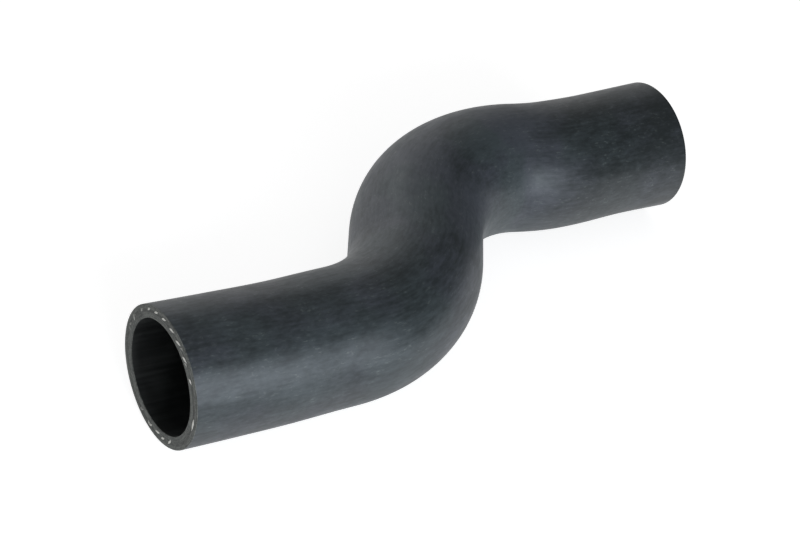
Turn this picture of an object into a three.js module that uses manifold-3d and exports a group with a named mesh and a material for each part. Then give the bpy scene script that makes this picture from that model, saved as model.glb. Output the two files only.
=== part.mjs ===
// Charge air hose: one formed rubber tube that carries boost air between two pipes.
// Two main bends in one flat plane step the tube sideways, and a third, slight bend
// brings the far leg back parallel to the near leg. Both ends are cut with a knife,
// a little out of square, and slip over a pipe spigot under a clamp.
// Millimetres, +Z up. The hose lies flat: the legs run along X, the step goes along Y.
import * as THREE from "three";
import { mergeVertices } from "three/addons/utils/BufferGeometryUtils.js";
import Module from "manifold-3d";

const { degToRad } = THREE.MathUtils;

// Section of the tube
const boreDiameter = 50;
const wallThickness = 5.5;

// Route of the centreline, from the near end to the far end
const nearLegLength = 85;
const firstBendRadius = 70;
const firstBendAngle = degToRad(58);
const middleLength = 18;
const secondBendRadius = 68;
const secondBendAngle = degToRad(71);
const returnBendRadius = 93;
const farLegLength = 61;

// How far each knife cut faces away from straight: aside in the flat plane, and up
const nearCutAside = degToRad(1.7);
const nearCutTip = degToRad(-1.5);
const farCutTip = degToRad(2.7);

// Formed length that is sure to be cut away at each end, past the deepest of the cut
const cutWaste = 1;

// Fineness of the facets
const sectionSegments = 40;
const stepLength = 6;

const outerRadius = boreDiameter / 2 + wallThickness;
const returnBendAngle = secondBendAngle - firstBendAngle;
const up = new THREE.Vector3(0, 0, 1);

// A circular arc in the XY plane that starts at a point with a heading, and turns
// left for a positive angle or right for a negative one.
class FlatArc extends THREE.Curve {
  constructor(start, heading, radius, turn) {
    super();
    this.turn = turn;
    this.radius = radius;
    this.startBearing = heading - (Math.sign(turn) * Math.PI) / 2;
    this.centre = start.clone().sub(this.spoke(0));
  }

  // The vector from the centre to the arc at a share t of the turn.
  spoke(t) {
    const bearing = this.startBearing + this.turn * t;
    return new THREE.Vector3(Math.cos(bearing), Math.sin(bearing), 0).multiplyScalar(this.radius);
  }

  getPoint(t, target = new THREE.Vector3()) {
    return target.copy(this.centre).add(this.spoke(t));
  }
}

// Lays straights and bends end to end, each one starting where the last one stopped.
class Route extends THREE.CurvePath {
  constructor() {
    super();
    this.end = new THREE.Vector3();
    this.heading = 0;
  }

  get direction() {
    return new THREE.Vector3(Math.cos(this.heading), Math.sin(this.heading), 0);
  }

  straight(length) {
    const start = this.end.clone();
    this.end.addScaledVector(this.direction, length);
    this.add(new THREE.LineCurve3(start, this.end.clone()));
    return this;
  }

  bend(radius, turn) {
    const arc = new FlatArc(this.end, this.heading, radius, turn);
    this.add(arc);
    this.end = arc.getPoint(1);
    this.heading += turn;
    return this;
  }
}

// The centreline, with each leg longer by the trim that its leaning cut takes off.
function hoseRoute(nearTrim, farTrim) {
  return new Route()
    .straight(nearTrim + nearLegLength)
    .bend(firstBendRadius, firstBendAngle)
    .straight(middleLength)
    .bend(secondBendRadius, -secondBendAngle)
    .bend(returnBendRadius, returnBendAngle)
    .straight(farLegLength + farTrim);
}

// The ring that is swept along the route: the tube's outside with the bore in it.
function hoseSection() {
  const ring = new THREE.Shape().absarc(0, 0, outerRadius, 0, 2 * Math.PI);
  ring.holes.push(new THREE.Path().absarc(0, 0, boreDiameter / 2, 0, 2 * Math.PI));
  return ring;
}

function sweep(section, route) {
  return new THREE.ExtrudeGeometry(section, {
    steps: Math.round(route.getLength() / stepLength),
    curveSegments: sectionSegments / 2,
    extrudePath: route,
  });
}

const wasm = await Module();
wasm.setup();

function toSolid(geometry) {
  const shared = geometry.clone();
  shared.deleteAttribute("normal");
  shared.deleteAttribute("uv");
  const merged = mergeVertices(shared);
  return new wasm.Manifold(
    new wasm.Mesh({
      numProp: 3,
      vertProperties: merged.attributes.position.array,
      triVerts: new Uint32Array(merged.index.array),
    }),
  );
}

function toGeometry(solid) {
  const { vertProperties, triVerts } = solid.getMesh();
  const geometry = new THREE.BufferGeometry();
  geometry.setAttribute("position", new THREE.BufferAttribute(vertProperties, 3));
  geometry.setIndex(new THREE.BufferAttribute(triVerts, 1));
  geometry.computeVertexNormals();
  return geometry;
}

// The length that a leaning cut takes off the tube beyond the middle of its end.
function trimLength(aside, tip) {
  return outerRadius * Math.tan(Math.hypot(aside, tip)) + cutWaste;
}

// The way that a cut end faces, when it is not quite the way that the tube runs out.
function cutFacing(runOut, aside, tip) {
  return runOut.clone().applyAxisAngle(up, aside).addScaledVector(up, Math.tan(tip)).normalize();
}

// The waste beyond a cut: a block with its flat side in the plane of the cut.
function waste(middle, facing) {
  const side = 4 * outerRadius;
  const block = new THREE.BoxGeometry(side, side, side);
  block.translate(side / 2, 0, 0);
  block.applyQuaternion(new THREE.Quaternion().setFromUnitVectors(new THREE.Vector3(1, 0, 0), facing));
  block.translate(middle.x, middle.y, middle.z);
  return block;
}

// The tube is formed over length, and the two cuts bring it to size.
function hoseGeometry() {
  const nearTrim = trimLength(nearCutAside, nearCutTip);
  const farTrim = trimLength(0, farCutTip);
  const route = hoseRoute(nearTrim, farTrim);

  const nearMiddle = new THREE.Vector3(nearTrim, 0, 0);
  const nearFacing = cutFacing(new THREE.Vector3(-1, 0, 0), nearCutAside, nearCutTip);
  const farMiddle = route.end.clone().addScaledVector(route.direction, -farTrim);
  const farFacing = cutFacing(route.direction, 0, farCutTip);

  const hose = toSolid(sweep(hoseSection(), route))
    .subtract(toSolid(waste(nearMiddle, nearFacing)))
    .subtract(toSolid(waste(farMiddle, farFacing)));
  return toGeometry(hose);
}

const rubber = new THREE.MeshStandardMaterial({ color: 0x2b2f33, roughness: 0.55, metalness: 0 });

const hose = new THREE.Mesh(hoseGeometry(), rubber);
hose.name = "hose";

// The origin is the middle of the footprint, on the surface that the hose lies on.
hose.geometry.computeBoundingBox();
const { min, max } = hose.geometry.boundingBox;
hose.position.set(-(min.x + max.x) / 2, -(min.y + max.y) / 2, -min.z);

const group = new THREE.Group();
group.add(hose);

export default group;
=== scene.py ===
"""Looks of a charge air hose, in metres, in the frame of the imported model.

The rubber is one closed surface: the outline of the tube's wall, carried round the tube and
along the route of the hose. Small drops are the ends of the yarn that show in the cut faces.
The finishes follow the surface, because they read where each point lies in the straight tube.
"""

import logging
import math
from abc import ABC, abstractmethod
from collections.abc import Mapping, Sequence
from dataclasses import astuple, dataclass, field
from enum import Enum
from typing import ClassVar

import bmesh
import bpy
import numpy as np
from mathutils import Matrix, Vector


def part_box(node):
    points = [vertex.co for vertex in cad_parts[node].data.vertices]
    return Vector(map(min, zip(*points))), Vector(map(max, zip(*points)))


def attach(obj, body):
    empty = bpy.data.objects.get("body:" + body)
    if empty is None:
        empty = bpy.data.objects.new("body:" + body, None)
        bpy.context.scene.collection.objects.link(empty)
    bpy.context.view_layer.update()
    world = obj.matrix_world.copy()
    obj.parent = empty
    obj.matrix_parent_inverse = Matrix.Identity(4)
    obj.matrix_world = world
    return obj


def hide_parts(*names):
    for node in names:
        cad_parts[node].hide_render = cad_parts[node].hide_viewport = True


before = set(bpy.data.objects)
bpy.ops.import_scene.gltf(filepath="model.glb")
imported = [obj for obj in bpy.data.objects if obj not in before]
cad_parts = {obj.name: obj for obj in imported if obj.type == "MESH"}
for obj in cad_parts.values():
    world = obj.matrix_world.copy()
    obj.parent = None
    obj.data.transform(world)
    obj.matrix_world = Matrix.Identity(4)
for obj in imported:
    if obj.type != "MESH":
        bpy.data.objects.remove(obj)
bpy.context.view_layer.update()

LOG = logging.getLogger("charge_air_hose")
MM = 0.001
WELD_DISTANCE = 0.001 * MM
TUBE_PLACE = "tube_place"    # where each point of a piece lies in the straight tube
YARN_FADE = "yarn_fade"      # how grey each point of the yarn is
NOISE_MEAN = 0.5

Colour = tuple[float, float, float]
Span = tuple[float, float]    # from and to, for a soft step or a random draw

BLACK: Colour = (0.0, 0.0, 0.0)
WHITE: Colour = (1.0, 1.0, 1.0)


class Region(Enum):
    """A side of the wall that has a finish of its own. The value is its material slot."""

    COVER = 0
    CUT = 1
    BORE = 2


class End(Enum):
    """An end of the hose. The stations start at the near end and stop at the far end."""

    NEAR = 0
    FAR = 1


@dataclass(frozen=True)
class Clouds:
    """A pattern of soft clouds: their size, its octaves of detail, and how those break it up.

    The last number is the scale along the tube: under 1, the clouds are drawn out that way.
    """

    size: float
    detail: float = 3.0
    breakup: float = 0.5
    along: float = 1.0


class Value:
    """A number or vector in a material. Python's operators on it add Math nodes."""

    def __init__(self, graph: "Graph", socket: bpy.types.NodeSocket) -> None:
        """Holds an output socket and the graph that it is in."""
        self.graph = graph
        self.socket = socket

    def _math(self, operation: str, first: "Value | float", second: "Value | float") -> "Value":
        """One Math node on two values."""
        return self.graph.add("ShaderNodeMath", {"operation": operation}, {0: first, 1: second})

    def __add__(self, other: "Value | float") -> "Value":
        """The sum."""
        return self._math("ADD", self, other)

    def __sub__(self, other: "Value | float") -> "Value":
        """This value less the other."""
        return self._math("SUBTRACT", self, other)

    def __rsub__(self, other: float) -> "Value":
        """The other less this value."""
        return self._math("SUBTRACT", other, self)

    def __mul__(self, other: "Value | float") -> "Value":
        """The product."""
        return self._math("MULTIPLY", self, other)

    def __truediv__(self, other: "Value | float") -> "Value":
        """This value over the other."""
        return self._math("DIVIDE", self, other)

    def __rtruediv__(self, other: float) -> "Value":
        """The other over this value."""
        return self._math("DIVIDE", other, self)

    def __pow__(self, other: "Value | float") -> "Value":
        """This value to a power."""
        return self._math("POWER", self, other)

    def __rpow__(self, other: float) -> "Value":
        """The other to the power of this value."""
        return self._math("POWER", other, self)

    __radd__ = __add__
    __rmul__ = __mul__


class Graph:
    """The node tree of a material or a world, built up from its outputs."""

    def __init__(self, tree: bpy.types.NodeTree) -> None:
        """Takes over a tree and empties it."""
        self.tree = tree
        tree.nodes.clear()

    def add(
        self,
        kind: str,
        settings: Mapping[str, object] | None = None,
        inputs: Mapping[int | str, object] | None = None,
        output: int | str = 0,
    ) -> Value:
        """Adds one node.

        Args:
            kind: The node's type.
            settings: Properties of the node, set first.
            inputs: A value, or a link to one, for each socket by its name or number.
            output: The socket to give back.

        Returns:
            The chosen output.
        """
        node = self.tree.nodes.new(kind)
        for name, setting in (settings or {}).items():
            setattr(node, name, setting)
        for name, given in (inputs or {}).items():
            if isinstance(given, Value):
                self.tree.links.new(given.socket, node.inputs[name])
            else:
                node.inputs[name].default_value = given
        return Value(self, node.outputs[output] if node.outputs else None)

    def noise(self, place: Value, clouds: Clouds) -> Value:
        """Clouds, as a value near 0.5.

        Args:
            place: The point's place in the straight tube.
            clouds: The pattern.

        Returns:
            The pattern's value at the place.
        """
        drawn_out = {0: place, 1: (clouds.along, 1.0, 1.0)}
        inputs = {
            "Vector": self.add("ShaderNodeVectorMath", {"operation": "MULTIPLY"}, drawn_out),
            "Scale": 1.0 / clouds.size,
            "Detail": clouds.detail,
            "Roughness": clouds.breakup,
        }
        return self.add("ShaderNodeTexNoise", {"noise_dimensions": "3D"}, inputs)

    def step(self, value: Value, span: Span) -> Value:
        """A soft step from 0 at the start of a span to 1 at its stop."""
        inputs = {0: value, 1: span[0], 2: span[1]}
        return self.add("ShaderNodeMapRange", {"interpolation_type": "SMOOTHSTEP"}, inputs)

    def weigh(self, values: Sequence[Value], shares: Sequence[float]) -> Value:
        """The sum of some values, each one times its share.

        Args:
            values: The values, at least one.
            shares: As many shares.

        Returns:
            The sum.
        """
        total = values[0] * shares[0]
        for value, share in zip(values[1:], shares[1:]):
            total = total + value * share
        return total

    def blend(self, share: Value | float, first: Value | Colour, second: Value | Colour) -> Value:
        """A colour between two, all of the second where the share is 1."""
        inputs = {0: share, 6: _with_alpha(first), 7: _with_alpha(second)}
        return self.add("ShaderNodeMix", {"data_type": "RGBA"}, inputs, 2)

    def axes(self, place: Value) -> tuple[Value, Value, Value]:
        """The three numbers of a place."""
        node = self.add("ShaderNodeSeparateXYZ", None, {0: place}).socket.node
        return tuple(Value(self, socket) for socket in node.outputs)

    def join(self, along: Value, aside: Value, above: Value) -> Value:
        """A place from its three numbers."""
        return self.add("ShaderNodeCombineXYZ", None, {0: along, 1: aside, 2: above})

    def tube_place(self) -> Value:
        """Where the point lies in the straight tube: station, aside and above, in metres."""
        return self.add("ShaderNodeAttribute", {"attribute_name": TUBE_PLACE}, None, "Vector")

    def edgewise(self) -> Value:
        """How far the surface is seen edgewise, from 0 where it is seen face on to 1."""
        return self.add("ShaderNodeLayerWeight", None, {"Blend": 0.5}, "Facing")

    def relief(self, height: Value) -> Value:
        """The normal of a surface that rises by a height in metres."""
        inputs = {"Strength": 1.0, "Distance": 1.0, "Height": height}
        return self.add("ShaderNodeBump", None, inputs)


def _with_alpha(colour: Value | Colour) -> Value | tuple[float, float, float, float]:
    """A colour as a socket takes it; a link is left as it is."""
    return colour if isinstance(colour, Value) else (*colour, 1.0)


class Finish(ABC):
    """A finish of a surface. Each kind of finish gives the values of the shader's sockets."""

    name: ClassVar[str]

    @abstractmethod
    def sockets(self, graph: Graph) -> dict[str, object]:
        """Works out the finish.

        Args:
            graph: The material's graph, to add nodes to.

        Returns:
            A value, or a link to one, for each of the shader's sockets that the finish sets.
        """

    def material(self) -> bpy.types.Material:
        """Makes the finish a material with one Principled shader.

        Returns:
            The material.
        """
        material = bpy.data.materials.new(self.name)
        material.use_nodes = True
        graph = Graph(material.node_tree)
        shader = graph.add("ShaderNodeBsdfPrincipled", None, self.sockets(graph))
        graph.add("ShaderNodeOutputMaterial", None, {"Surface": shader})
        return material


@dataclass(frozen=True)
class CoverFinish(Finish):
    """Satin black rubber, with a blue-grey bloom in clouds, flecks and streaks along the tube.

    The rubber is painted lighter on the way into the second bend, a painted light, and darker
    towards the far end, a painted shade, by shifting its bloom. A thin film lies over the bloom
    and gleams, and some of the flecks are scuffed. Seen edgewise, the rubber is duller.
    """

    name: ClassVar[str] = "rubber_cover"
    rubber: Colour = (0.0155, 0.0195, 0.0205)
    bloom: Colour = (0.0445, 0.0510, 0.0630)
    green_bloom: Colour = (0.0405, 0.0520, 0.0575)
    scuff: Colour = (0.1100, 0.1280, 0.1260)
    gleam: Colour = (0.82, 0.90, 1.00)
    base_gloss: float = 0.27
    least_film: float = 0.20
    most_film: float = 0.42
    film_dullness: float = 0.36
    satin: float = 0.31
    dull: float = 0.42
    grain_dullness: float = 0.10
    edgewise_dullness: float = 0.30
    clouds: Clouds = Clouds(26 * MM, along=0.7)
    mottle: Clouds = Clouds(7 * MM, along=0.7)
    flecks: Clouds = Clouds(1.6 * MM, breakup=0.6, along=0.45)
    streaks: Clouds = Clouds(1.6 * MM, breakup=0.6, along=0.08)
    grain: Clouds = Clouds(0.6 * MM, detail=2.0, breakup=0.6)
    scuffs: Clouds = Clouds(1.0 * MM, breakup=0.6, along=0.4)
    hues: Clouds = Clouds(35 * MM, detail=2.0)
    haze_shares: tuple[float, ...] = (0.32, 0.24, 0.26, 0.18)
    # The next four numbers paint light into the second bend and shade towards the far end, by
    # raising and lowering the bloom's haze.
    painted_light_span: Span = (125 * MM, 170 * MM)
    painted_light_by: float = 0.09
    painted_shade_span: Span = (240 * MM, 305 * MM)
    painted_shade_by: float = 0.18
    bloom_span: Span = (0.33, 0.67)
    film_shares: tuple[float, ...] = (0.4, 0.4, 0.2)
    film_span: Span = (0.34, 0.66)
    scuff_span: Span = (0.55, 0.74)
    rubbed_span: Span = (0.44, 0.62)
    least_rubbed: float = 0.25
    scuff_strength: float = 0.5
    hue_span: Span = (0.42, 0.58)
    edgewise_span: Span = (0.30, 0.80)
    heights: tuple[float, ...] = (0.020 * MM, 0.007 * MM, 0.008 * MM, 0.008 * MM)

    def _colour(self, graph: Graph, bloom: Value, place: Value, mottle: Value) -> Value:
        """The rubber under its bloom, with the scuffs on top.

        Args:
            graph: The material's graph.
            bloom: How thick the bloom is, from 0 to 1.
            place: The point's place in the straight tube.
            mottle: The pattern that the scuffs gather in.

        Returns:
            The colour.
        """
        gathered = graph.step(mottle, self.rubbed_span) * (1.0 - self.least_rubbed)
        scuffs = graph.step(graph.noise(place, self.scuffs), self.scuff_span)
        scuffs = scuffs * (gathered + self.least_rubbed)
        hues = graph.step(graph.noise(place, self.hues), self.hue_span)
        powder = graph.blend(hues, self.bloom, self.green_bloom)
        colour = graph.blend(bloom, self.rubber, powder)
        return graph.blend(scuffs * self.scuff_strength, colour, self.scuff)

    def sockets(self, graph: Graph) -> dict[str, object]:
        """Works out the finish. The haze of the bloom is a weighted sum of four patterns.

        Args:
            graph: The material's graph.

        Returns:
            The values of the shader's sockets.
        """
        place = graph.tube_place()
        patterns = (self.clouds, self.mottle, self.flecks, self.streaks, self.grain)
        clouds, mottle, flecks, streaks, grain = [graph.noise(place, one) for one in patterns]
        station, _, _ = graph.axes(place)
        # Painted light on the way into the second bend and painted shade towards the far end,
        # added to the bloom's haze.
        painted_light = graph.step(station, self.painted_light_span) * self.painted_light_by
        painted_shade = graph.step(station, self.painted_shade_span) * self.painted_shade_by
        haze = graph.weigh((clouds, mottle, flecks, streaks), self.haze_shares)
        bloom = graph.step(haze + painted_light - painted_shade, self.bloom_span)
        film = graph.step(graph.weigh((mottle, flecks, streaks), self.film_shares), self.film_span)
        roughness = self.satin + bloom * (self.dull - self.satin)
        roughness = roughness + (grain - NOISE_MEAN) * self.grain_dullness
        edgewise = graph.step(graph.edgewise(), self.edgewise_span)
        return {
            "Base Color": self._colour(graph, bloom, place, mottle),
            "Roughness": roughness + edgewise * self.edgewise_dullness,
            "Specular IOR Level": self.base_gloss,
            "Specular Tint": _with_alpha(self.gleam),
            "Coat Weight": self.least_film + film * (self.most_film - self.least_film),
            "Coat Roughness": self.film_dullness,
            "Normal": graph.relief(graph.weigh((mottle, flecks, streaks, grain), self.heights)),
        }


@dataclass(frozen=True)
class CutFinish(Finish):
    """Matt grey-black rubber where the knife went through, fuzzy where it met the yarn.

    The knife's marks run round the tube. The size of their pattern counts in mark widths.
    """

    name: ClassVar[str] = "rubber_cut"
    rubber: Colour = (0.0340, 0.0380, 0.0355)
    dragged: Colour = (0.1290, 0.1370, 0.1290)
    fabric: Colour = (0.0220, 0.0240, 0.0230)
    lint: Colour = (0.2600, 0.2600, 0.2400)
    dull: float = 0.75
    marks: Clouds = Clouds(1.0, breakup=0.6)
    mark_width: float = 0.42 * MM
    turns_of_marks: float = 3.0
    crumbs: Clouds = Clouds(0.9 * MM, breakup=0.65)
    patches: Clouds = Clouds(4.0 * MM)
    fuzz: Clouds = Clouds(0.5 * MM, breakup=0.7)
    torn_shares: tuple[float, ...] = (0.45, 0.35, 0.20)
    torn_span: Span = (0.40, 0.60)
    yarn_radius: float = 28.3 * MM
    layer_width: float = 0.9 * MM
    layer_span: Span = (0.1, 1.0)
    fabric_span: Span = (0.35, 0.60)
    fabric_strength: float = 0.8
    lint_span: Span = (0.58, 0.70)
    lint_strength: float = 0.6
    heights: tuple[float, ...] = (0.060 * MM, 0.080 * MM)

    def sockets(self, graph: Graph) -> dict[str, object]:
        """Works out the finish. The yarn's layer fades with the square of the way off its ring.

        Args:
            graph: The material's graph.

        Returns:
            The values of the shader's sockets.
        """
        place = graph.tube_place()
        _, aside, above = graph.axes(place)
        radius = (aside * aside + above * above) ** 0.5
        round_ways = [way / radius * self.turns_of_marks for way in (aside, above)]
        marks = graph.noise(graph.join(radius / self.mark_width, *round_ways), self.marks)
        crumbs = graph.noise(place, self.crumbs)
        patches = graph.noise(place, self.patches)
        torn = graph.step(graph.weigh((marks, crumbs, patches), self.torn_shares), self.torn_span)
        off_ring = (radius - self.yarn_radius) / self.layer_width
        layer = 1.0 - graph.step(off_ring * off_ring, self.layer_span)
        fabric = layer * graph.step(patches, self.fabric_span) * self.fabric_strength
        fuzz = graph.step(graph.noise(place, self.fuzz), self.lint_span)
        colour = graph.blend(torn, self.rubber, self.dragged)
        colour = graph.blend(fabric, colour, self.fabric)
        colour = graph.blend(layer * fuzz * self.lint_strength, colour, self.lint)
        normal = graph.relief(graph.weigh((marks, crumbs), self.heights))
        return {"Base Color": colour, "Roughness": self.dull, "Normal": normal}


@dataclass(frozen=True)
class BoreFinish(Finish):
    """Smooth black liner, marked along the tube by the rod that formed it."""

    name: ClassVar[str] = "rubber_bore"
    liner: Colour = (0.0070, 0.0078, 0.0080)
    dusted: Colour = (0.0160, 0.0180, 0.0180)
    gloss: float = 0.24
    satin: float = 0.42
    dull: float = 0.60
    streaks: Clouds = Clouds(1.6 * MM, breakup=0.6, along=0.03)
    clouds: Clouds = Clouds(14 * MM, breakup=0.55)
    dust_shares: tuple[float, ...] = (0.5, 0.5)
    dust_span: Span = (0.40, 0.66)
    streak_height: float = 0.04 * MM

    def sockets(self, graph: Graph) -> dict[str, object]:
        """Works out the finish. Dust lies in the streaks and in clouds.

        Args:
            graph: The material's graph.

        Returns:
            The values of the shader's sockets.
        """
        place = graph.tube_place()
        streaks = graph.noise(place, self.streaks)
        clouds = graph.noise(place, self.clouds)
        dust = graph.step(graph.weigh((streaks, clouds), self.dust_shares), self.dust_span)
        return {
            "Base Color": graph.blend(dust, self.liner, self.dusted),
            "Roughness": self.satin + dust * (self.dull - self.satin),
            "Specular IOR Level": self.gloss,
            "Normal": graph.relief(streaks * self.streak_height),
        }


@dataclass(frozen=True)
class YarnFinish(Finish):
    """Off-white yarn, some ends of it grey with rubber."""

    name: ClassVar[str] = "yarn"
    yarn: Colour = (0.7000, 0.7000, 0.6600)
    smeared: Colour = (0.1700, 0.1750, 0.1650)
    dull: float = 0.85
    fibres: Clouds = Clouds(0.12 * MM, detail=2.0, breakup=0.6)
    fade_share: float = 0.8
    fibre_share: float = 0.5
    smear_span: Span = (0.15, 0.75)
    fibre_height: float = 0.05 * MM

    def sockets(self, graph: Graph) -> dict[str, object]:
        """Works out the finish. The smear follows the fade of each end, broken up by fibres.

        Args:
            graph: The material's graph.

        Returns:
            The values of the shader's sockets.
        """
        fibres = graph.noise(graph.tube_place(), self.fibres)
        fade = graph.add("ShaderNodeAttribute", {"attribute_name": YARN_FADE}, None, "Fac")
        smear = fade * self.fade_share + (fibres - NOISE_MEAN) * self.fibre_share
        colour = graph.blend(graph.step(smear, self.smear_span), self.yarn, self.smeared)
        normal = graph.relief(fibres * self.fibre_height)
        return {"Base Color": colour, "Roughness": self.dull, "Normal": normal}


@dataclass(frozen=True)
class FloorFinish(Finish):
    """Pale paint. The camera and mirrors see it lifted to white, with its shadows."""

    name: ClassVar[str] = "floor_paint"
    paint: Colour = (0.62, 0.62, 0.62)
    lift: float = 0.74
    dull: float = 0.9

    def sockets(self, graph: Graph) -> dict[str, object]:
        """Works out the finish. The lift is for rays of the camera, of gloss and through glass.

        Args:
            graph: The material's graph.

        Returns:
            The values of the shader's sockets.
        """
        seen = graph.add("ShaderNodeLightPath", None, None, "Is Camera Ray")
        ways = seen.socket.node.outputs
        for way in ("Is Glossy Ray", "Is Transmission Ray"):
            seen = seen + Value(graph, ways[way])
        return {
            "Base Color": _with_alpha(self.paint),
            "Roughness": self.dull,
            "Specular IOR Level": 0.0,
            "Emission Color": graph.blend(seen * self.lift, BLACK, WHITE),
            "Emission Strength": 1.0,
        }


def make_piece(
    name: str,
    points: np.ndarray,
    faces: np.ndarray,
    tube_places: np.ndarray,
    materials: Sequence[bpy.types.Material],
    slots: np.ndarray,
) -> bpy.types.Object:
    """Makes a smooth mesh object from whole arrays and links it.

    Args:
        name: The piece's name.
        points: Corner places, in metres, one row each.
        faces: Four corner numbers for each face, the outside seen anticlockwise.
        tube_places: The place of each corner in the straight tube.
        materials: The finishes.
        slots: The finish of each face.

    Returns:
        The object, at the origin.
    """
    mesh = bpy.data.meshes.new(name)
    mesh.from_pydata(points.tolist(), [], faces.tolist())
    mesh.polygons.foreach_set("use_smooth", np.ones(len(faces), dtype=bool))
    for material in materials:
        mesh.materials.append(material)
    mesh.polygons.foreach_set("material_index", slots.astype(np.int32))
    attribute = mesh.attributes.new(TUBE_PLACE, "FLOAT_VECTOR", "POINT")
    attribute.data.foreach_set("vector", tube_places.astype(np.float32).ravel())
    mesh.update()
    piece = bpy.data.objects.new(name, mesh)
    bpy.context.scene.collection.objects.link(piece)
    return piece


def weld(piece: bpy.types.Object) -> None:
    """Joins the corners of a piece that lie on each other, such as the ones at a pole.

    Args:
        piece: The piece, whose mesh is changed.
    """
    shape = bmesh.new()
    shape.from_mesh(piece.data)
    bmesh.ops.remove_doubles(shape, verts=shape.verts, dist=WELD_DISTANCE)
    shape.to_mesh(piece.data)
    shape.free()


@dataclass(frozen=True)
class Stretch:
    """A part of the route: a straight, or an arc where it turns."""

    length: float
    turn: float = 0.0

    @classmethod
    def bend(cls, radius: float, degrees: float) -> "Stretch":
        """An arc of a radius through an angle, to the left where it is positive."""
        turn = math.radians(degrees)
        return cls(radius * abs(turn), turn)


class Route:
    """The centreline of the hose: stretches laid end to end in the flat plane."""

    def __init__(self, stretches: Sequence[Stretch]) -> None:
        """Works out where each stretch starts and which way it heads there.

        Args:
            stretches: The parts of the route, in order.
        """
        lengths = np.array([stretch.length for stretch in stretches])
        turns = np.array([stretch.turn for stretch in stretches])
        self.curvatures = turns / lengths
        self.stations = np.concatenate([[0.0], np.cumsum(lengths)])
        self.headings = np.concatenate([[0.0], np.cumsum(turns)])
        chords = self._chord(lengths, self.headings[:-1], self.curvatures)
        self.starts = np.concatenate([np.zeros((1, 2)), np.cumsum(chords, axis=0)])

    @property
    def length(self) -> float:
        """The length of the centreline."""
        return float(self.stations[-1])

    @staticmethod
    def _chord(run: np.ndarray, heading: np.ndarray, curvature: np.ndarray) -> np.ndarray:
        """The straight way from the start of an arc to a point on it.

        Half the angle turned is the run times half the curvature. The chord points that much
        past the heading, and its length is the run times the sine of that angle over the angle.

        Args:
            run: The lengths of arc up to the points.
            heading: The headings where the arcs start, in radians.
            curvature: The turn for each metre, in radians.

        Returns:
            The x and y of each chord.
        """
        half_turn = run * curvature / 2
        reach = run * np.sinc(half_turn / np.pi)
        bearing = heading + half_turn
        return np.stack([reach * np.cos(bearing), reach * np.sin(bearing)], axis=-1)

    def at(self, station: np.ndarray) -> tuple[np.ndarray, np.ndarray]:
        """The points of the centreline at some stations, and its headings there.

        Args:
            station: The stations, in metres along the route. Past the ends it runs straight on.

        Returns:
            The x and y of each point, and the headings in radians.
        """
        last = len(self.curvatures) - 1
        index = np.clip(np.searchsorted(self.stations, station, side="right") - 1, 0, last)
        run = station - self.stations[index]
        curvature = self.curvatures[index]
        points = self.starts[index] + self._chord(run, self.headings[index], curvature)
        return points, self.headings[index] + run * curvature


@dataclass(frozen=True)
class Stray:
    """How a formed hose strays from its drawing, in millimetres at even steps along it."""

    values: tuple[float, ...]

    def at(self, share: np.ndarray) -> np.ndarray:
        """The stray at a share of the hose's length.

        It is a cubic between each two of the values, with the slope at a value that joins the
        values on both sides of it.

        Args:
            share: The shares of the length, from 0 to 1.

        Returns:
            The strays, in metres.
        """
        values = np.array(self.values) * MM
        place = np.clip(share, 0.0, 1.0) * (len(values) - 1)
        index = np.minimum(place.astype(int), len(values) - 2)
        run = place - index
        slopes = np.gradient(values)
        start, stop = values[index], values[index + 1]
        leaving, arriving = slopes[index], slopes[index + 1]
        bow = 3 * (stop - start) - 2 * leaving - arriving
        twist = 2 * (start - stop) + leaving + arriving
        return start + run * (leaving + run * (bow + run * twist))


@dataclass(frozen=True)
class KnifeCut:
    """A flat cut through the tube that faces some degrees to the left, and some upwards."""

    aside: float
    tip: float

    def lead(self, aside: np.ndarray, above: np.ndarray) -> np.ndarray:
        """How much further out along the tube the cut lies at a place off its middle.

        It is minus the tangent of each lean times the distance off the middle that way.

        Args:
            aside: The distances to the left of the middle.
            above: The distances above it.

        Returns:
            The leads, in metres.
        """
        lean_aside, lean_up = math.radians(self.aside), math.radians(self.tip)
        return -(math.tan(lean_aside) * aside + math.tan(lean_up) * above)


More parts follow.
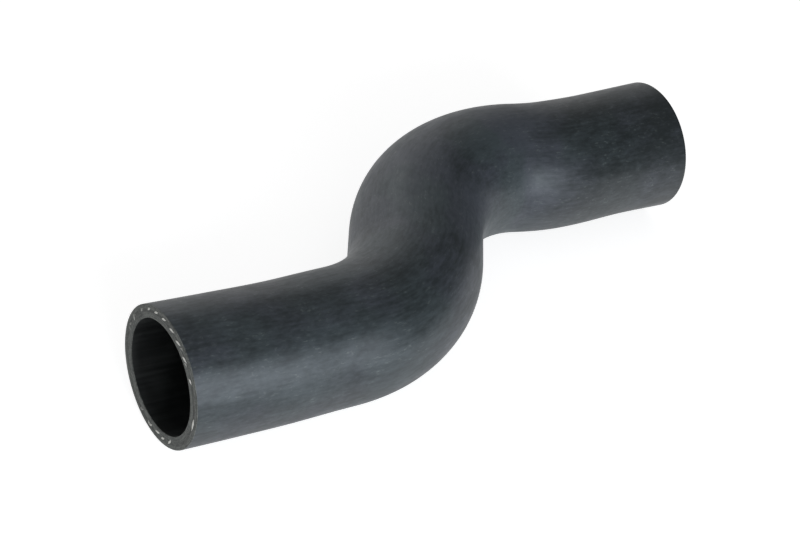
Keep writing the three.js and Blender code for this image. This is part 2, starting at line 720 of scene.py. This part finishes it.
@dataclass
class HoseWall:
    """The formed rubber tube: cover, liner and the two cut faces as one closed surface.

    Its sizes are the drawn ones. The real hose strays aside from them and swells, both under
    a millimetre. Its outside is dented a little, and each cut is sunk along the ring of yarn.
    """

    node: str = "hose"
    bore: float = 50 * MM
    wall: float = 5.5 * MM
    near_leg: float = 85 * MM
    first_bend_radius: float = 70 * MM
    first_bend_degrees: float = 58.0
    middle: float = 18 * MM
    second_bend_radius: float = 68 * MM
    second_bend_degrees: float = 71.0
    return_bend_radius: float = 93 * MM
    far_leg: float = 61 * MM
    near_cut: KnifeCut = KnifeCut(aside=-1.7, tip=-1.5)
    far_cut: KnifeCut = KnifeCut(aside=0.0, tip=2.7)
    edge: float = 0.35 * MM
    edge_steps: int = 4
    cover_step: float = 1.15 * MM
    bore_step: float = 3.2 * MM
    cut_steps: int = 24
    around: int = 192
    aside: Stray = Stray(
        (0.04, -0.51, -0.84, -0.18, -0.10, 0.06, 0.17, 0.14, 0.13, 0.11, 0.24, -0.17, 0.72, 0.52)
    )
    swell: Stray = Stray(
        (0.39, 0.16, -0.07, 0.03, 0.11, 0.19, 0.24, 0.28, 0.40, 0.54, 0.20, 0.78)
    )
    dent: float = 0.16 * MM
    dent_count: int = 6
    dent_wave_lengths: Span = (40 * MM, 150 * MM)
    most_dents_round: int = 3
    yarn_radius: float = 28.2 * MM
    groove_depth: float = 0.10 * MM
    groove_width: float = 0.45 * MM
    seed: int = 7
    route: Route = field(init=False)
    origin: np.ndarray = field(init=False)

    def __post_init__(self) -> None:
        """Lays the route and finds where the frame holds it."""
        return_bend_degrees = self.second_bend_degrees - self.first_bend_degrees
        stretches = [
            Stretch(self.near_leg),
            Stretch.bend(self.first_bend_radius, self.first_bend_degrees),
            Stretch(self.middle),
            Stretch.bend(self.second_bend_radius, -self.second_bend_degrees),
            Stretch.bend(self.return_bend_radius, return_bend_degrees),
            Stretch(self.far_leg),
        ]
        self.route = Route(stretches)
        self.origin = np.zeros(3)
        count = round(self.route.length / self.cover_step)
        station = np.linspace(0.0, self.route.length, count)[:, None]
        angle = self._angles()
        aside, above = self.outer_radius * np.cos(angle), self.outer_radius * np.sin(angle)
        points = self._drawn(station, aside, above)
        low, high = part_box(self.node)
        off_middle = np.array(low + high) - points.min(axis=(0, 1)) - points.max(axis=(0, 1))
        self.origin = off_middle / 2

    @property
    def outer_radius(self) -> float:
        """Half of the outside diameter."""
        return self.bore / 2 + self.wall

    def _angles(self) -> np.ndarray:
        """The angles round the tube, as a row."""
        return np.linspace(0.0, 2 * math.pi, self.around, endpoint=False)[None, :]

    def place(self, station: np.ndarray, aside: np.ndarray, above: np.ndarray) -> np.ndarray:
        """Bends places of the straight tube into the hose as it came out of the mould.

        The tube strays aside a little. Where it has swollen, it lies that much higher.

        Args:
            station: The distances along the tube.
            aside: The distances to the left of its axis.
            above: The distances above its axis.

        Returns:
            The places in the frame, one row each.
        """
        share = station / self.route.length
        return self._drawn(station, aside + self.aside.at(share), above + self.swell.at(share))

    def _drawn(self, station: np.ndarray, aside: np.ndarray, above: np.ndarray) -> np.ndarray:
        """Bends places of the straight tube into the hose as it is drawn.

        A station slides along its leg by the lead of the leaning cut, all of it at the cut and
        none at the leg's other end. The point is then the centreline's point there, plus the
        aside distance to its left and the above distance upwards.

        Args:
            station: The distances along the tube.
            aside: The distances to the left of its axis.
            above: The distances above its axis.

        Returns:
            The places in the frame, one row each.
        """
        to_end = self.route.length - station
        near_share = np.clip(1 - station / self.near_leg, 0, 1)
        far_share = np.clip(1 - to_end / self.far_leg, 0, 1)
        slid = station - self.near_cut.lead(aside, above) * near_share
        slid = slid + self.far_cut.lead(aside, above) * far_share
        centre, heading = self.route.at(slid)
        x = centre[..., 0] - aside * np.sin(heading)
        y = centre[..., 1] + aside * np.cos(heading)
        return np.stack([x, y, above * np.ones_like(x)], axis=-1) + self.origin

    def _outline(self) -> tuple[np.ndarray, np.ndarray, np.ndarray]:
        """The closed outline of the wall: station, radius and region of each of its steps.

        Each corner is a quarter circle, and a straight run leads from it to the next one:
        across the far cut, back along the bore, across the near cut and out along the cover.

        Returns:
            The stations, the radii and the regions' slots.
        """
        length, edge = self.route.length, self.edge
        inner, outer = self.bore / 2 + edge, self.outer_radius - edge
        corners = [
            (length - edge, outer, self.cut_steps, Region.CUT),
            (length - edge, inner, round(length / self.bore_step), Region.BORE),
            (edge, inner, self.cut_steps, Region.CUT),
            (edge, outer, round(length / self.cover_step), Region.COVER),
        ]
        turn = np.linspace(0.0, math.pi / 2, self.edge_steps + 1)
        arcs = []
        for number, (station, radius, _, _) in enumerate(corners):
            bearing = math.pi / 2 * (1 - number) - turn
            arc = [station + edge * np.cos(bearing), radius + edge * np.sin(bearing)]
            arcs.append(np.stack(arc, axis=1))
        rows, regions = [], []
        for number, (_, _, steps, region) in enumerate(corners):
            start, stop = arcs[number][-1], arcs[(number + 1) % len(arcs)][0]
            shares = np.linspace(0.0, 1.0, steps + 1)[1:-1, None]
            rows += [arcs[number], start + (stop - start) * shares]
            regions += [np.full(self.edge_steps, Region.CUT.value), np.full(steps, region.value)]
        outline = np.concatenate(rows)
        return outline[:, 0], outline[:, 1], np.concatenate(regions)

    def _dents(self, station: np.ndarray, angle: np.ndarray) -> np.ndarray:
        """How deep the cover dips, from 0 to the dent size.

        It is the mean of some waves, each one plus a cosine of the station over its own wave
        length and of a whole number of turns round the tube, so it closes on itself.

        Args:
            station: The stations, as a column.
            angle: The angles round the tube, as a row.

        Returns:
            The depths, in metres.
        """
        random = np.random.default_rng(self.seed)
        dip = np.zeros(np.broadcast(station, angle).shape)
        for _ in range(self.dent_count):
            wave_length = random.uniform(*self.dent_wave_lengths)
            waves_round = random.integers(1, self.most_dents_round + 1)
            phase = random.uniform(0.0, 2 * math.pi)
            dip += 1 + np.cos(2 * math.pi * station / wave_length + waves_round * angle + phase)
        return dip * self.dent / (2 * self.dent_count)

    def _grid(self) -> tuple[np.ndarray, np.ndarray, np.ndarray, np.ndarray]:
        """The surface in the straight tube: station, aside, above, and the steps' regions.

        The outline is carried round the axis. Its radius grows by the swell and loses the dents
        at the cover, and does neither at the bore. The depth of a shallow groove that follows
        the yarn in each cut face is a bell curve of the distance off the ring.

        Returns:
            Three arrays with a row for each step of the outline and a column for each angle,
            and the regions' slots.
        """
        station, radius, regions = self._outline()
        angle = self._angles()
        station, radius = station[:, None], radius[:, None]
        share = (radius - self.bore / 2) / self.wall
        swell = self.swell.at(station / self.route.length)
        dented = radius + share * (swell - self._dents(station, angle))
        off_ring = (radius - self.yarn_radius) / self.groove_width
        groove = self.groove_depth * np.exp(-(off_ring**2))
        inwards = np.where(station < self.edge / 2, groove, 0.0)
        inwards = inwards - np.where(station > self.route.length - self.edge / 2, groove, 0.0)
        sunk = station + inwards + 0.0 * angle
        return sunk, dented * np.cos(angle), dented * np.sin(angle), regions

    def build(self) -> bpy.types.Object:
        """Makes the rubber wall, which stands for the solid hose.

        Returns:
            The piece.
        """
        station, aside, above, regions = self._grid()
        rows, columns = station.shape
        points = self.place(station, aside, above).reshape(-1, 3)
        tube_places = np.stack([station, aside, above], axis=-1).reshape(-1, 3)
        number = np.arange(rows * columns).reshape(rows, columns)
        below = np.roll(number, -1, axis=0)
        corners = [number, np.roll(number, -1, axis=1), np.roll(below, -1, axis=1), below]
        faces = np.stack(corners, axis=-1).reshape(-1, 4)
        slots = np.repeat(regions, columns)
        finishes = [CoverFinish().material(), CutFinish().material(), BoreFinish().material()]
        piece = make_piece("rubber_wall", points, faces, tube_places, finishes, slots)
        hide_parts(self.node)
        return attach(piece, "root")


@dataclass(frozen=True)
class YarnEnd:
    """One end of the yarn in a cut face: where it lies on the ring, and how it was cut.

    The angle and the tilt off the ring are in degrees. The fade is 0 for clean yarn and 1 for
    yarn that is grey with rubber.
    """

    degrees: float
    radius: float
    length: float
    tilt: float
    fade: float


@dataclass
class YarnEnds:
    """The ends of the knitted yarn that the knife left showing in the middle of the wall.

    Each end is a few plies side by side. The ones in the far face are placed at random.
    """

    hose: HoseWall
    near: tuple[YarnEnd, ...] = (
        YarnEnd(5.7, 28.0 * MM, 1.7 * MM, 35.0, 0.70),
        YarnEnd(10.3, 28.3 * MM, 2.0 * MM, -30.0, 0.60),
        YarnEnd(22.0, 28.2 * MM, 2.5 * MM, 40.0, 0.50),
        YarnEnd(24.5, 28.4 * MM, 1.8 * MM, -20.0, 0.75),
        YarnEnd(41.0, 28.6 * MM, 1.8 * MM, 10.0, 0.50),
        YarnEnd(55.0, 28.9 * MM, 2.0 * MM, 10.0, 0.05),
        YarnEnd(67.5, 28.8 * MM, 2.8 * MM, 8.0, 0.00),
        YarnEnd(80.5, 28.8 * MM, 2.9 * MM, 8.0, 0.00),
        YarnEnd(94.1, 28.5 * MM, 3.0 * MM, 6.0, 0.00),
        YarnEnd(106.4, 28.0 * MM, 3.4 * MM, 16.0, 0.10),
        YarnEnd(112.9, 28.7 * MM, 1.8 * MM, 10.0, 0.60),
        YarnEnd(121.3, 27.6 * MM, 2.8 * MM, 12.0, 0.00),
        YarnEnd(125.6, 27.3 * MM, 1.8 * MM, 14.0, 0.55),
        YarnEnd(140.1, 27.4 * MM, 2.3 * MM, 10.0, 0.15),
        YarnEnd(180.5, 28.5 * MM, 5.1 * MM, -4.0, 0.05),
        YarnEnd(237.0, 27.8 * MM, 3.4 * MM, 24.0, 0.05),
        YarnEnd(249.1, 28.0 * MM, 2.5 * MM, 10.0, 0.05),
        YarnEnd(258.5, 27.3 * MM, 3.2 * MM, 4.0, 0.05),
        YarnEnd(271.0, 28.3 * MM, 2.5 * MM, 30.0, 0.40),
        YarnEnd(273.6, 28.3 * MM, 2.3 * MM, -35.0, 0.45),
        YarnEnd(288.2, 28.1 * MM, 2.2 * MM, 20.0, 0.60),
    )
    far_courses: int = 27
    far_wander: float = 2.0
    far_radius: float = 28.2 * MM
    far_radius_spread: float = 0.3 * MM
    far_lengths: Span = (1.5 * MM, 2.8 * MM)
    far_tilts: Span = (-10.0, 20.0)
    far_fades: Span = (0.0, 0.6)
    width: float = 0.88 * MM
    height: float = 0.24 * MM
    taper: float = 0.40
    tail_fade: float = 0.25
    sunk: float = 0.6
    plies: int = 3
    ply_girth: float = 0.62
    stagger: float = 0.14
    rings: int = 10
    sides: int = 12
    seed: int = 21

    def _far(self) -> list[YarnEnd]:
        """The ends in the far face: one for each course of the knitting, a little uneven.

        Returns:
            The ends, at even angles apart from their wander.
        """
        random = np.random.default_rng(self.seed)
        return [
            YarnEnd(
                degrees + random.uniform(-self.far_wander, self.far_wander),
                random.normal(self.far_radius, self.far_radius_spread),
                random.uniform(*self.far_lengths),
                random.uniform(*self.far_tilts),
                random.uniform(*self.far_fades),
            )
            for degrees in np.arange(self.far_courses) * 360.0 / self.far_courses
        ]

    def _plies(self, end: End, ends: Sequence[YarnEnd]) -> tuple[np.ndarray, np.ndarray]:
        """The plies of one cut face, in the straight tube, and the fade of each point.

        Each ply is a drop that lies along the ring: its length is minus a cosine of the latitude,
        and its breadth and height are a sine of it times the cosine and sine of the longitude,
        both less towards the tail. The plies of one end lie side by side, each further on.

        Args:
            end: The end of the hose that the cut face is at.
            ends: The ends of the yarn in it.

        Returns:
            The points of each ply, in rings, and their fades.
        """
        rows = np.repeat(np.array([astuple(one) for one in ends]), self.plies, axis=0)
        degrees, ring, length, tilt, fade = rows.T[:, :, None, None]
        ply = np.tile(np.arange(self.plies) - (self.plies - 1) / 2, len(ends))[:, None, None]
        latitude = np.linspace(0.0, math.pi, self.rings + 1)[None, :, None]
        longitude = np.linspace(0.0, 2 * math.pi, self.sides, endpoint=False)[None, None, :]
        tail = (1 - np.cos(latitude)) / 2
        thick = np.sin(latitude) * (1 + self.taper * (1 - 2 * tail))
        along = length * (tail - 0.5 + ply * self.stagger) + 0.0 * longitude
        strand = self.width / self.plies
        across = strand * (self.ply_girth * thick * np.cos(longitude) + ply)
        rise = self.height * thick * np.sin(longitude) + 0.0 * ring
        lean = np.radians(tilt)
        radius = ring + across * np.cos(lean) + along * np.sin(lean)
        angle = np.radians(degrees) + (along * np.cos(lean) - across * np.sin(lean)) / ring
        out = rise - self.hose.groove_depth * self.sunk
        station = self.hose.route.length + out if end is End.FAR else -out
        angle = 2 * math.pi - angle if end is End.FAR else angle
        straight = np.stack([station, radius * np.cos(angle), radius * np.sin(angle)], axis=-1)
        return straight, fade + self.tail_fade * tail + 0.0 * angle

    def build(self) -> bpy.types.Object:
        """Makes all the yarn ends as one piece.

        Returns:
            The piece.
        """
        made = [self._plies(End.NEAR, self.near), self._plies(End.FAR, self._far())]
        straight = np.concatenate([places for places, _ in made])
        fade = np.concatenate([fades for _, fades in made])
        points = self.hose.place(straight[..., 0], straight[..., 1], straight[..., 2])
        count, rings, sides = fade.shape
        number = np.arange(count * rings * sides).reshape(count, rings, sides)
        around = np.roll(number, -1, axis=2)
        corners = [number[:, :-1], around[:, :-1], around[:, 1:], number[:, 1:]]
        faces = np.stack(corners, axis=-1).reshape(-1, 4)
        slots = np.zeros(len(faces))
        flat = straight.reshape(-1, 3)
        finishes = [YarnFinish().material()]
        piece = make_piece("yarn_ends", points.reshape(-1, 3), faces, flat, finishes, slots)
        attribute = piece.data.attributes.new(YARN_FADE, "FLOAT", "POINT")
        attribute.data.foreach_set("value", fade.astype(np.float32).ravel())
        weld(piece)
        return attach(piece, "root")


@dataclass(frozen=True)
class Softbox:
    """A flat lamp: its middle, the point that it faces, its width and height, and its light."""

    name: str
    middle: tuple[float, float, float]
    facing: tuple[float, float, float]
    width: float
    height: float
    level: float
    colour: Colour = WHITE

    def build(self) -> bpy.types.Object:
        """Adds the lamp. Its power is its level times pi times its area.

        Returns:
            The lamp.
        """
        lamp = bpy.data.lights.new(self.name, "AREA")
        lamp.shape = "RECTANGLE"
        lamp.size = self.width
        lamp.size_y = self.height
        lamp.energy = self.level * math.pi * self.width * self.height
        lamp.color = self.colour
        holder = bpy.data.objects.new(self.name, lamp)
        holder.visible_camera = False
        bpy.context.scene.collection.objects.link(holder)
        away = Vector(self.facing) - Vector(self.middle)
        turned = away.to_track_quat("-Z", "Y").to_matrix().to_4x4()
        holder.matrix_world = Matrix.Translation(self.middle) @ turned
        return holder


@dataclass(frozen=True)
class Studio:
    """A pale floor under a sky that is white all round the horizon and dim overhead."""

    floor_reach: float = 4.0
    horizon: float = 1.0
    overhead: float = 0.36
    dimming_span: Span = (0.25, 0.65)
    dark_side: tuple[float, float, float] = (0.985, -0.174, 0.0)
    dark_share: float = 0.90
    dark_span: Span = (0.25, 0.75)
    lamps: tuple[Softbox, ...] = (
        Softbox(
            "front_softbox",
            middle=(-0.05, -0.58, 0.20),
            facing=(-0.08, 0.0, 0.05),
            width=0.68,
            height=0.41,
            level=3.8,
            colour=(0.93, 0.96, 1.00),
        ),
        Softbox(
            "back_softbox",
            middle=(-0.20, 1.10, 0.70),
            facing=(0.0, 0.0, 0.03),
            width=1.00,
            height=0.50,
            level=0.8,
        ),
    )

    def _sky(self) -> None:
        """The world: its level falls with height, and it is dark low down on one side."""
        world = bpy.data.worlds.new("studio_sky")
        world.use_nodes = True
        graph = Graph(world.node_tree)
        direction = graph.add("ShaderNodeTexCoord", None, None, "Generated")
        _, _, height = graph.axes(direction)
        dimmed = graph.step(height, self.dimming_span)
        level = self.horizon + dimmed * (self.overhead - self.horizon)
        sides = {0: direction, 1: self.dark_side}
        facing = graph.add("ShaderNodeVectorMath", {"operation": "DOT_PRODUCT"}, sides, "Value")
        level = level * (1.0 - graph.step(facing, self.dark_span) * self.dark_share)
        light = {"Color": _with_alpha(WHITE), "Strength": level}
        background = graph.add("ShaderNodeBackground", None, light)
        graph.add("ShaderNodeOutputWorld", None, {"Surface": background})
        bpy.context.scene.world = world

    def build(self) -> None:
        """Lays the floor, sets the sky and hangs the lamps."""
        signs = np.array([(-1, -1, 0), (1, -1, 0), (1, 1, 0), (-1, 1, 0)])
        corners = signs * self.floor_reach
        faces = np.array([[0, 1, 2, 3]])
        finishes = [FloorFinish().material()]
        floor = make_piece("floor", corners, faces, corners, finishes, np.zeros(1))
        self._sky()
        for softbox in self.lamps:
            softbox.build()


@dataclass(frozen=True)
class View:
    """The photograph's view: a long lens, from above and beyond the near end, rolled.

    The angles are in degrees, and the lens and the sensor in millimetres, as Blender has them.
    """

    aim: tuple[float, float, float] = (-0.019014, -0.008174, 0.0305)
    distance: float = 0.978875
    azimuth: float = 228.417
    elevation: float = 39.3005
    roll: float = 16.992
    lens: float = 98.48
    sensor: float = 36.0
    nearest: float = 0.05

    def build(self) -> bpy.types.Object:
        """Adds the camera and makes it the scene's own.

        The way back to the camera has the level part of the cosine of the elevation and rises
        by its sine. The camera's right lies level before it is rolled about that way.

        Returns:
            The camera.
        """
        azimuth, elevation = math.radians(self.azimuth), math.radians(self.elevation)
        level = math.cos(elevation)
        back = Vector((level * math.cos(azimuth), level * math.sin(azimuth), math.sin(elevation)))
        flat_right = Vector((0.0, 0.0, 1.0)).cross(back).normalized()
        turn = Matrix.Rotation(math.radians(self.roll), 3, back)
        right = turn @ flat_right
        up = back.cross(right)
        camera = bpy.data.cameras.new("camera")
        camera.lens = self.lens
        camera.sensor_width = self.sensor
        camera.clip_start = self.nearest
        holder = bpy.data.objects.new("camera", camera)
        bpy.context.scene.collection.objects.link(holder)
        facing = Matrix((right, up, back)).transposed().to_4x4()
        holder.matrix_world = Matrix.Translation(Vector(self.aim) + back * self.distance) @ facing
        bpy.context.scene.camera = holder
        return holder


def report(piece: bpy.types.Object) -> None:
    """Logs a piece's name and its size in millimetres."""
    size = ", ".join(f"{side / MM:.1f}" for side in piece.dimensions)
    LOG.info("%s: %d faces, %s mm", piece.name, len(piece.data.polygons), size)


def main() -> None:
    """Builds the camera, the studio and the hose, piece by piece."""
    logging.basicConfig(level=logging.INFO, format="%(name)s %(message)s")
    bpy.context.scene.view_settings.view_transform = "Standard"
    View().build()
    Studio().build()
    hose = HoseWall()
    report(hose.build())
    report(YarnEnds(hose).build())


if __name__ == "__main__":
    main()
